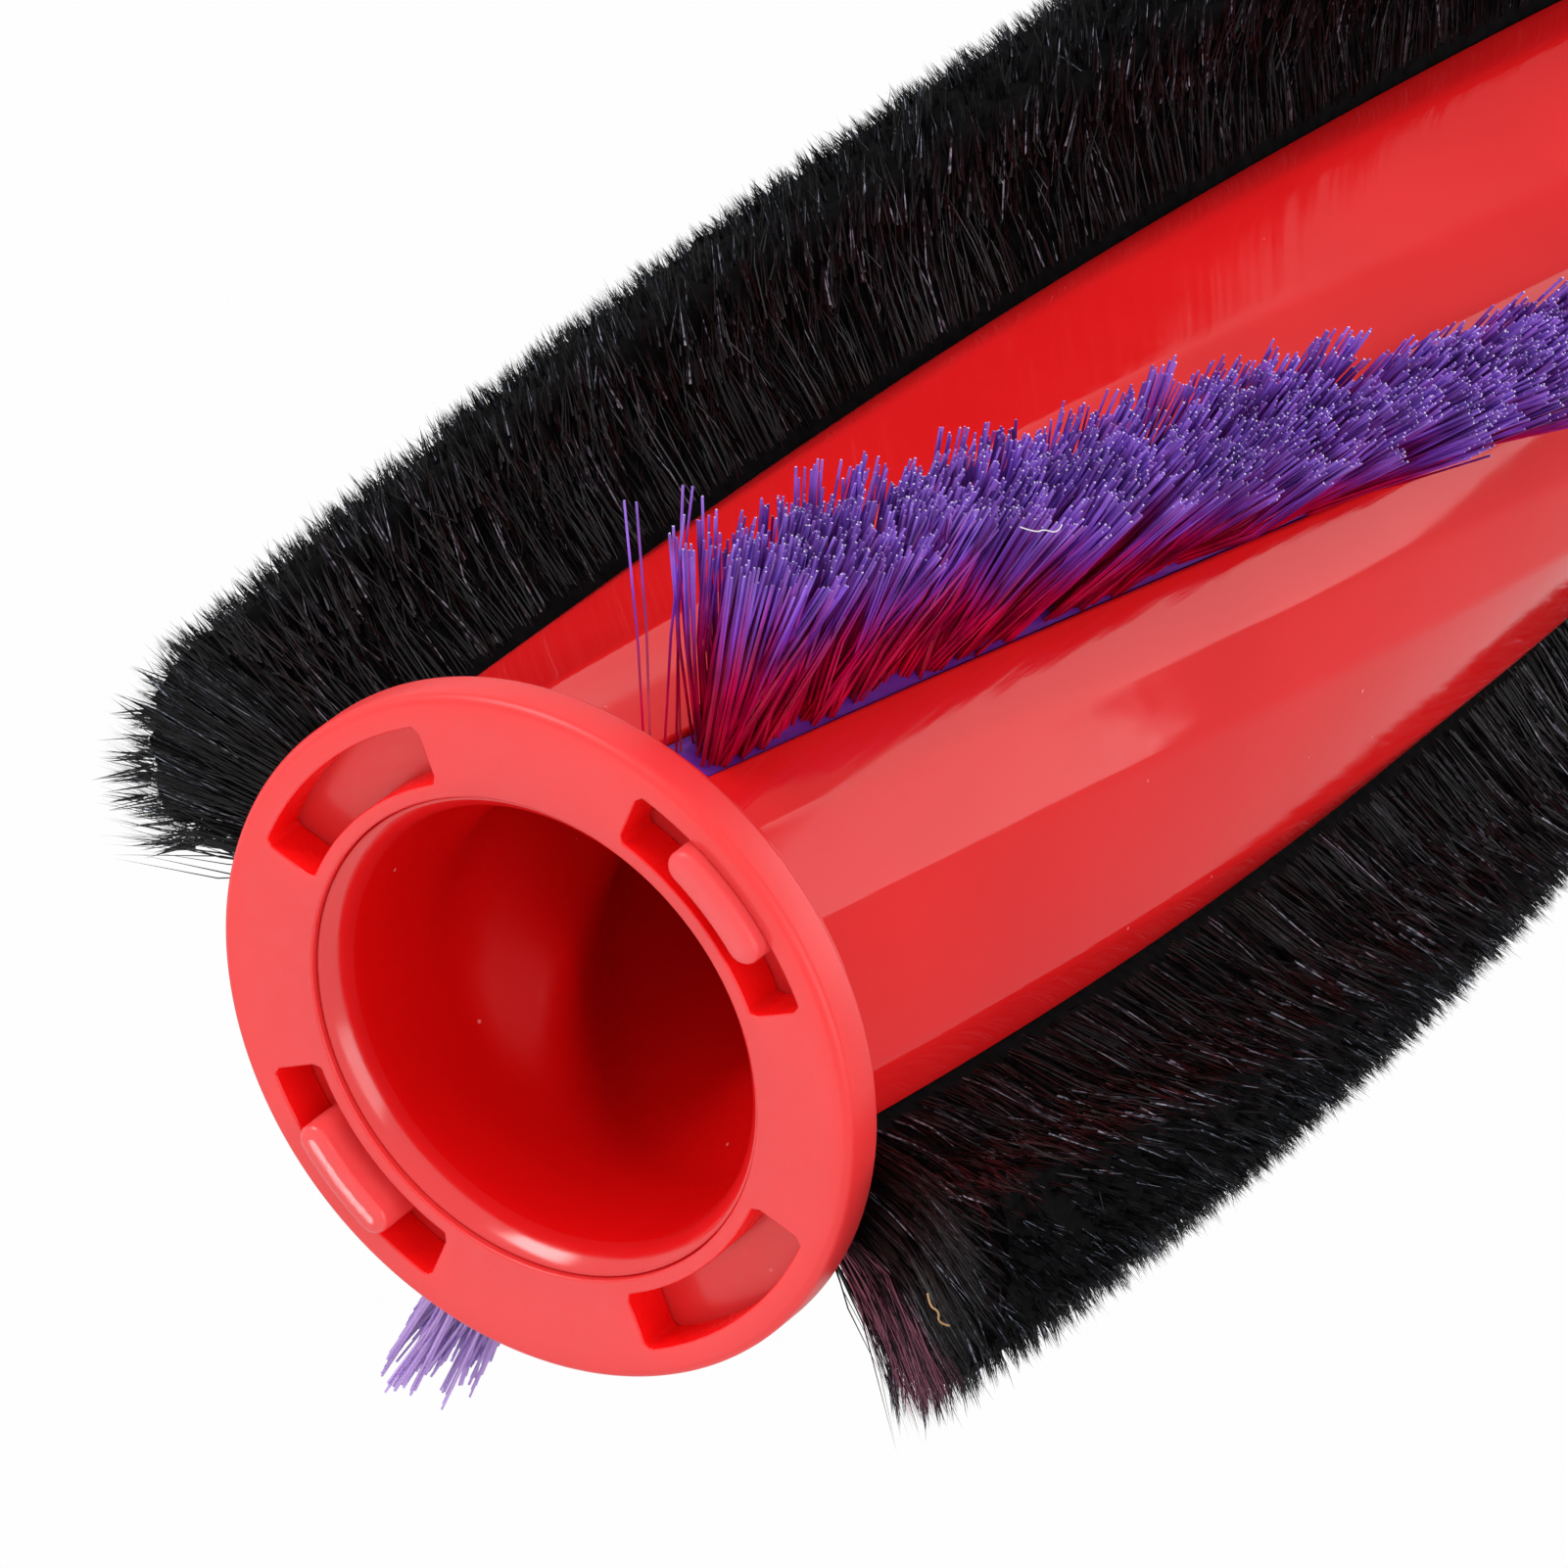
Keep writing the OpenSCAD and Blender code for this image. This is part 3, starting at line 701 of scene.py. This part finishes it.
def material(name, color, roughness, **inputs):
    """Principled material, with the links left to its own function."""
    mat = bpy.data.materials.new(name)
    mat.use_nodes = True
    shader = mat.node_tree.nodes["Principled BSDF"]
    shader.inputs["Base Color"].default_value = (*color, 1)
    shader.inputs["Roughness"].default_value = roughness
    for key, value in inputs.items():
        shader.inputs[key.replace("_", " ")].default_value = value
    return mat


def node(mat, kind, **settings):
    made = mat.node_tree.nodes.new(kind)
    for key, value in settings.items():
        setattr(made, key, value)
    return made


def noise(mat, scale, detail=3.0, source="Object"):
    """Noise in the object's own space, at so many waves a metre."""
    place = node(mat, "ShaderNodeTexCoord")
    texture = node(mat, "ShaderNodeTexNoise")
    texture.inputs["Scale"].default_value = scale
    texture.inputs["Detail"].default_value = detail
    mat.node_tree.links.new(place.outputs[source], texture.inputs["Vector"])
    return texture.outputs["Fac"]


def ramp(mat, value, stops):
    """Colour ramp of (place, colour) stops."""
    made = node(mat, "ShaderNodeValToRGB")
    elements = made.color_ramp.elements
    while len(elements) < len(stops):
        elements.new(0.5)
    for element, (place, color) in zip(elements, stops):
        element.position = place
        element.color = (*color, 1)
    mat.node_tree.links.new(value, made.inputs["Fac"])
    return made.outputs["Color"]


def span(mat, value, low, high, to_low=0.0, to_high=1.0):
    made = node(mat, "ShaderNodeMapRange")
    for key, number in (("From Min", low), ("From Max", high), ("To Min", to_low), ("To Max", to_high)):
        made.inputs[key].default_value = number
    mat.node_tree.links.new(value, made.inputs["Value"])
    return made.outputs["Result"]


def bump(mat, height, distance, strength=1.0):
    made = node(mat, "ShaderNodeBump")
    made.inputs["Distance"].default_value = distance
    made.inputs["Strength"].default_value = strength
    mat.node_tree.links.new(height, made.inputs["Height"])
    shader = mat.node_tree.nodes["Principled BSDF"]
    mat.node_tree.links.new(made.outputs["Normal"], shader.inputs["Normal"])


def feed(mat, value, socket):
    mat.node_tree.links.new(value, mat.node_tree.nodes["Principled BSDF"].inputs[socket])


def radius_of(mat):
    """Distance from the roller's axis, in metres."""
    place = node(mat, "ShaderNodeTexCoord")
    flat = node(mat, "ShaderNodeVectorMath", operation="MULTIPLY")
    flat.inputs[1].default_value = (1, 1, 0)
    length = node(mat, "ShaderNodeVectorMath", operation="LENGTH")
    mat.node_tree.links.new(place.outputs["Object"], flat.inputs[0])
    mat.node_tree.links.new(flat.outputs["Vector"], length.inputs[0])
    return length.outputs["Value"]


def height_of(mat):
    """Height along the roller, in metres."""
    place = node(mat, "ShaderNodeTexCoord")
    apart = node(mat, "ShaderNodeSeparateXYZ")
    mat.node_tree.links.new(place.outputs["Object"], apart.inputs["Vector"])
    return apart.outputs["Z"]


def facing_out(mat):
    """One where a face looks straight away from the roller's axis, as a cut end does."""
    place = node(mat, "ShaderNodeTexCoord")
    flat = node(mat, "ShaderNodeVectorMath", operation="MULTIPLY")
    flat.inputs[1].default_value = (1, 1, 0)
    away = node(mat, "ShaderNodeVectorMath", operation="NORMALIZE")
    dot = node(mat, "ShaderNodeVectorMath", operation="DOT_PRODUCT")
    mat.node_tree.links.new(place.outputs["Object"], flat.inputs[0])
    mat.node_tree.links.new(flat.outputs["Vector"], away.inputs[0])
    mat.node_tree.links.new(away.outputs["Vector"], dot.inputs[0])
    mat.node_tree.links.new(place.outputs["Normal"], dot.inputs[1])
    return span(mat, dot.outputs["Value"], 0.75, 0.85)


def specked(mat, color, scale, size, pale):
    """The colour with tiny pale specks, so many cells a metre."""
    place = node(mat, "ShaderNodeTexCoord")
    cells = node(mat, "ShaderNodeTexVoronoi")
    cells.inputs["Scale"].default_value = scale
    mat.node_tree.links.new(place.outputs["Object"], cells.inputs["Vector"])
    mix = node(mat, "ShaderNodeMix", data_type="RGBA")
    mix.inputs["B"].default_value = (*pale, 1)
    mat.node_tree.links.new(span(mat, cells.outputs["Distance"], size, 0.5 * size), mix.inputs["Factor"])
    mat.node_tree.links.new(color, mix.inputs["A"])
    return mix.outputs["Result"]


def red_plastic(name="red_plastic", specular=0.22, smooth=0.06, rough=0.12, red=0.72, pale=0.010):
    """Glossy plastic of the tube, whose green and blue are about pale."""
    mat = material(name, (red, pale, pale), 0.10, Specular_IOR_Level=specular)
    tint = [(0.3, (red - 0.02, 0.8 * pale, pale)), (0.7, (red + 0.03, 1.1 * pale, 1.3 * pale))]
    feed(mat, specked(mat, ramp(mat, noise(mat, 90, 2), tint), 260, 0.03, (0.9, 0.25, 0.25)), "Base Color")
    feed(mat, span(mat, noise(mat, 900, 4), 0.35, 0.75, smooth, rough), "Roughness")
    bump(mat, noise(mat, 110, 1.5), 0.0002, 0.3)
    return mat


def coral_plastic(name="coral_plastic", smooth=0.37, rough=0.42, pale=0.038):
    """Satin plastic of the ring, whose green and blue are about pale."""
    mat = material(name, (0.85, pale, pale), 0.36, Specular_IOR_Level=0.45,
                   Subsurface_Weight=0.7, Subsurface_Radius=(1.0, 0.15, 0.15), Subsurface_Scale=0.002)
    tint = [(0.3, (0.83, 0.9 * pale, 0.95 * pale)), (0.7, (0.87, 1.1 * pale, 1.2 * pale))]
    feed(mat, specked(mat, ramp(mat, noise(mat, 120, 3), tint), 300, 0.035, (0.95, 0.22, 0.22)), "Base Color")
    feed(mat, span(mat, noise(mat, 1500, 4), 0.3, 0.75, smooth, rough), "Roughness")
    bump(mat, noise(mat, 3000, 4), 0.00001, 0.5)
    return mat


def multiplied(mat, a, b, kind="MULTIPLY"):
    mix = node(mat, "ShaderNodeMix", data_type="RGBA", blend_type=kind)
    mix.inputs["Factor"].default_value = 1
    mat.node_tree.links.new(a, mix.inputs["A"])
    mat.node_tree.links.new(b, mix.inputs["B"])
    return mix.outputs["Result"]


def by_strand(mat, stops):
    """Grey value that changes from one strand to the next."""
    island = node(mat, "ShaderNodeNewGeometry")
    return ramp(mat, island.outputs["Random Per Island"], [(place, (v, v, v)) for place, v in stops])


def nylon(name, clear, pale_end):
    """Bristles, violet at their tips and crimson at their roots, the crimson being painted red light from the tube
    shining through them; paler by pale_end at the row's thin end, painted light shining through there.
    """
    mat = material(name, (0.2, 0.05, 0.5), 0.3, Specular_IOR_Level=0.2, Transmission_Weight=clear)
    along = span(mat, radius_of(mat), TUBE_R * MM, NYLON_TIP * MM)
    # Both ramps run crimson towards the roots: painted red light from the tube shining through the bristles.
    violet = ramp(mat, along, [(0.0, (0.75, 0.0, 0.05)), (0.34, (0.62, 0.002, 0.10)), (0.5, (0.42, 0.02, 0.34)),
                               (0.66, (0.32, 0.07, 0.78)), (0.87, (0.42, 0.18, 1.0)), (1.0, (0.50, 0.26, 1.0))])
    crimson = ramp(mat, along, [(0.0, (0.8, 0.0, 0.03)), (0.5, (0.66, 0.002, 0.12)), (0.75, (0.44, 0.04, 0.5)),
                                (1.0, (0.46, 0.2, 0.9))])
    mix = node(mat, "ShaderNodeMix", data_type="RGBA")
    share = by_strand(mat, [(0.0, 1.0), (0.42, 0.85), (0.56, 0.15), (1.0, 0.0)])
    mat.node_tree.links.new(share, mix.inputs["Factor"])
    mat.node_tree.links.new(violet, mix.inputs["A"])
    mat.node_tree.links.new(crimson, mix.inputs["B"])
    shade = by_strand(mat, [(0.0, 0.95), (0.5, 0.78), (0.75, 1.0), (1.0, 0.85)])
    clumps = ramp(mat, noise(mat, 420, 1), [(0.35, (0.55, 0.5, 0.62)), (0.62, (1.0, 1.0, 1.0))])
    dyed = multiplied(mat, multiplied(mat, mix.outputs["Result"], shade), clumps)
    # Faces looking straight out, as the cut ends do, are mixed towards pale lilac: painted glints on the cut ends.
    ends = node(mat, "ShaderNodeMix", data_type="RGBA")
    ends.inputs["B"].default_value = (0.92, 0.86, 1.0, 1)
    some = node(mat, "ShaderNodeMath", operation="MULTIPLY")
    mat.node_tree.links.new(facing_out(mat), some.inputs[0])
    mat.node_tree.links.new(by_strand(mat, [(0.0, 0.15), (0.6, 0.2), (0.75, 0.9), (1.0, 1.0)]), some.inputs[1])
    mat.node_tree.links.new(some.outputs["Value"], ends.inputs["Factor"])
    mat.node_tree.links.new(dyed, ends.inputs["A"])
    # Towards the row's open end the colour is mixed towards pale lilac by pale_end: painted light shining through the
    # thin bunch.
    thin = node(mat, "ShaderNodeMix", data_type="RGBA")
    thin.inputs["B"].default_value = (0.74, 0.52, 1.0, 1)
    share = span(mat, height_of(mat), (TUBE_TOP - 9) * MM, (TUBE_TOP - 2) * MM, 0.0, pale_end)
    mat.node_tree.links.new(share, thin.inputs["Factor"])
    mat.node_tree.links.new(ends.outputs["Result"], thin.inputs["A"])
    feed(mat, thin.outputs["Result"], "Base Color")
    return mat


def pile():
    mat = material("soft_pile", (0.008, 0.008, 0.010), 0.4, Specular_IOR_Level=0.3)
    along = ramp(mat, span(mat, radius_of(mat), TUBE_R * MM, PILE_TIP * MM),
                 [(0.0, (0.016, 0.014, 0.018)), (0.4, (0.032, 0.033, 0.042)), (1.0, (0.048, 0.052, 0.068))])
    # The few strands made many times brighter, and broken into spots, are painted glints.
    shade = by_strand(mat, [(0.0, 0.04), (0.75, 0.08), (0.88, 0.3), (0.94, 1.5), (0.97, 6.0), (1.0, 10.0)])
    painted_glint_spots = ramp(mat, noise(mat, 2600, 2), [(0.42, (0.1, 0.1, 0.1)), (0.58, (1.15, 1.15, 1.15))])
    feed(mat, multiplied(mat, multiplied(mat, along, shade), painted_glint_spots), "Base Color")
    return mat


def pile_fringe():
    """Thin see-through hairs at a row's end, mauve between black ones; the mauve is painted light shining through them.
    """
    mat = material("pile_fringe", (0.3, 0.1, 0.16), 0.6, Specular_IOR_Level=0.1)
    island = node(mat, "ShaderNodeNewGeometry")
    stops = [(0.0, (0.40, 0.15, 0.21)), (0.5, (0.24, 0.08, 0.13)), (0.6, (0.02, 0.012, 0.016)), (1.0, (0.01, 0.01, 0.012))]
    feed(mat, ramp(mat, island.outputs["Random Per Island"], stops), "Base Color")
    return mat


def pile_middle():
    mat = material("pile_middle", (0.0025, 0.0025, 0.003), 0.9, Specular_IOR_Level=0.05)
    feed(mat, ramp(mat, noise(mat, 1600, 3), [(0.3, (0.001, 0.001, 0.001)), (0.8, (0.005, 0.005, 0.006))]), "Base Color")
    return mat


def plain(name, color, roughness, grain, **inputs):
    """Simple finish with a fine grain in its roughness and surface."""
    mat = material(name, color, roughness, **inputs)
    feed(mat, span(mat, noise(mat, grain, 3), 0.3, 0.7, roughness * 0.85, roughness * 1.15), "Roughness")
    bump(mat, noise(mat, grain * 1.5, 3), 0.00001, 0.4)
    return mat


def dress(names, mat):
    for name in names:
        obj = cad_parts[name]
        obj.data.materials.clear()
        obj.data.materials.append(mat)


def finish(obj, mat, body="roller", stands_for=()):
    """Material, body and replaced nodes of one piece."""
    obj.data.materials.append(mat)
    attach(obj, body)
    if stands_for:
        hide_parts(*stands_for)
    return obj


def joined(name, objs):
    bpy.ops.object.select_all(action="DESELECT")
    for obj in objs:
        obj.select_set(True)
    bpy.context.view_layer.objects.active = objs[0]
    bpy.ops.object.join()
    objs[0].name = name
    return objs[0]


def tube_finish(place):
    """Material of one of the tube's faces: 0 outside, 1 flange and collar, 2 mouth, 3 bore, 4 and 5 the two pegs."""
    r, depth = math.hypot(place.x, place.y) / MM, RING_TOP - place.z / MM
    if r > COLLAR_R + 0.05 and depth < RING_TOP - RING_LOW - 0.05:
        return 5 if place.y > 0 else 4
    if depth < RING_TOP - RING_LOW + 0.05 and r > COLLAR_R - 0.1:
        return 1
    if r > COLLAR_R + 0.05:
        return 0
    return 2 if depth < COLLAR_DROP + LIP_DEPTH else 3


def build_object():
    red, coral, black, middle = red_plastic(), coral_plastic(), pile(), pile_middle()
    violet = {"a": nylon("nylon_bristle", 0.2, 0.0), "b": nylon("nylon_clear", 0.35, 0.95)}
    core = joined("core_tube_fine", [core_mesh(), *pegs()])
    finish(core, red, stands_for=["core_tube"])
    # The bore's copy of the red is a little darker and less pink than the outside's: painted shade inside the tube.
    # The two peg materials have paler bases than the ring's coral: painted highlight and sheen on the pegs.
    for mat in (coral, red_plastic("red_lip", 0.8, 0.15, 0.22), red_plastic("red_bore", 0.12, 0.3, 0.4, 0.70, 0.003),
                coral_plastic("coral_peg_matt", 0.35, 0.45, 0.075), coral_plastic("coral_peg_gloss", 0.1, 0.16, 0.085)):
        core.data.materials.append(mat)
    for face in core.data.polygons:
        face.material_index = tube_finish(face.center)
    ring = finish(ring_mesh(), coral, stands_for=["end_ring"])
    # The window walls get a brighter, deeper red than the ring's coral: painted light glowing in the windows.
    ring.data.materials.append(red_plastic("red_window_painted_glow", 0.3, 0.25, 0.35, 0.92, 0.006))
    for face in ring.data.polygons:
        face.material_index = int(window_wall(face.center))
    for letter, turn, splay, lean_side in (("a", 0, 1.3, 1.3), ("b", 180, 4.5, -0.9)):
        finish(nylon_row("nylon_row_" + letter, turn, lean_side), violet[letter],
               stands_for=["nylon_bristles_" + letter])
        finish(pile_core("pile_core_" + letter, turn + 90, splay), middle)
        finish(pile_row("pile_row_" + letter, turn + 90, splay), black,
               stands_for=["pile_bristles_" + letter])
        finish(pile_end("pile_end_" + letter, turn + 90, splay), black)
    finish(pile_end("pile_fringe_b", 270, 4.5, (-0.92, -0.5)), pile_fringe())
    finish(lint("lint_tan", LINT, 0.05), plain("lint_tan", (0.45, 0.26, 0.12), 0.8, 3000))
    finish(lint("lint_white", HAIR, 0.03), plain("lint_white", (0.8, 0.75, 0.8), 0.6, 3000))
    dress(["end_cap"], coral)
    dress(["nylon_strip_a", "nylon_strip_b"], plain("strip_backing", (0.12, 0.010, 0.27), 0.5, 2000))
    dress(["pile_strip_a", "pile_strip_b", "bearing_sleeve"], plain("black_backing", (0.012, 0.012, 0.014), 0.6, 2000))
    dress(["bearing_outer_ring", "bearing_inner_ring", "bearing_shield_inner", "bearing_shield_outer",
           "bearing_balls"], plain("bearing_steel", (0.55, 0.56, 0.58), 0.25, 3000, Metallic=1.0))
    dress(["bearing_cage"], plain("cage_plastic", (0.10, 0.06, 0.03), 0.5, 2000))
    dress(["felt_washer"], plain("felt", (0.55, 0.52, 0.45), 0.9, 2500))
    dress(["axle_bush"], plain("bush_plastic", (0.03, 0.03, 0.035), 0.4, 2000))


# Stage, lights and camera

def seen_rays(tree, camera=1.0, mirrored=1.0):
    """Share of plain white that camera rays, and glossy or transmission rays, see."""
    path = tree.nodes.new("ShaderNodeLightPath")

    def math_node(operation, a, b):
        made = tree.nodes.new("ShaderNodeMath")
        made.operation = operation
        for socket, value in zip(made.inputs, (a, b)):
            if isinstance(value, float):
                socket.default_value = value
            else:
                tree.links.new(value, socket)
        return made.outputs[0]

    others = math_node("MAXIMUM", path.outputs["Is Glossy Ray"], path.outputs["Is Transmission Ray"])
    return math_node("MAXIMUM", math_node("MULTIPLY", path.outputs["Is Camera Ray"], camera),
                     math_node("MULTIPLY", others, mirrored))


def build_stage():
    size = 3.0
    mesh = bpy.data.meshes.new("floor")
    mesh.from_pydata([(-size, -size, 0), (size, -size, 0), (size, size, 0), (-size, size, 0)], [], [(0, 1, 2, 3)])
    floor = link("floor", mesh)
    floor.location.z = -0.0003
    mat = material("floor", (0.6, 0.6, 0.6), 0.8)
    tree = mat.node_tree
    glow = tree.nodes.new("ShaderNodeEmission")
    mix = tree.nodes.new("ShaderNodeMixShader")
    tree.links.new(seen_rays(tree, 0.97, 0.2), mix.inputs["Fac"])
    tree.links.new(tree.nodes["Principled BSDF"].outputs[0], mix.inputs[1])
    tree.links.new(glow.outputs[0], mix.inputs[2])
    tree.links.new(mix.outputs[0], tree.nodes["Material Output"].inputs["Surface"])
    mesh.materials.append(mat)


def build_world():
    world = bpy.data.worlds.new("studio")
    bpy.context.scene.world = world
    world.use_nodes = True
    tree = world.node_tree
    back = tree.nodes["Background"]
    seen = tree.nodes.new("ShaderNodeBackground")
    mix = tree.nodes.new("ShaderNodeMixShader")
    back.inputs["Color"].default_value = (1, 1, 1, 1)
    back.inputs["Strength"].default_value = 0.8
    seen.inputs["Color"].default_value = (1, 1, 1, 1)
    tree.links.new(seen_rays(tree), mix.inputs["Fac"])
    tree.links.new(back.outputs[0], mix.inputs[1])
    tree.links.new(seen.outputs[0], mix.inputs[2])
    tree.links.new(mix.outputs[0], tree.nodes["World Output"].inputs["Surface"])


def softbox(name, place, target, size, radiance):
    """Area light of the given size and brightness, which looks at target."""
    light = bpy.data.lights.new(name, "AREA")
    light.shape = "RECTANGLE"
    light.size, light.size_y = size
    light.energy = radiance * math.pi * size[0] * size[1]
    obj = link(name, light)
    obj.location = place
    obj.rotation_euler = (Vector(target) - Vector(place)).to_track_quat("-Z", "Y").to_euler()
    obj.visible_camera = False


def build_lights():
    middle = (0, 0, 0.19)
    softbox("key", (0.58, -0.165, 0.44), (0, 0, 0.22), (0.28, 0.30), 7.0)
    softbox("fill", (-0.35, -0.55, 0.45), middle, (0.45, 0.45), 2.2)
    softbox("back", (-0.01, 0.60, 0.835), (0, 0, 0.225), (0.1, 0.1), 9.0)
    softbox("card_front", (-0.065, -0.165, 0.001), (-0.065, -0.165, 1), (0.17, 0.14), 2.4)


def build_camera():
    camera = bpy.data.cameras.new("camera")
    camera.lens = LENS
    camera.sensor_width = SENSOR
    camera.clip_start = 0.01
    obj = link("camera", camera)
    ahead = VIEW_AHEAD.normalized()
    right = (VIEW_RIGHT - VIEW_RIGHT.dot(ahead) * ahead).normalized()
    up = right.cross(ahead)
    turn = Matrix((right, up, -ahead)).transposed().to_4x4()
    obj.matrix_world = Matrix.Translation(CAMERA_PLACE * MM) @ turn
    bpy.context.scene.camera = obj


build_camera()
build_object()
build_stage()
build_world()
build_lights()
bpy.context.scene.view_settings.view_transform = "Standard"
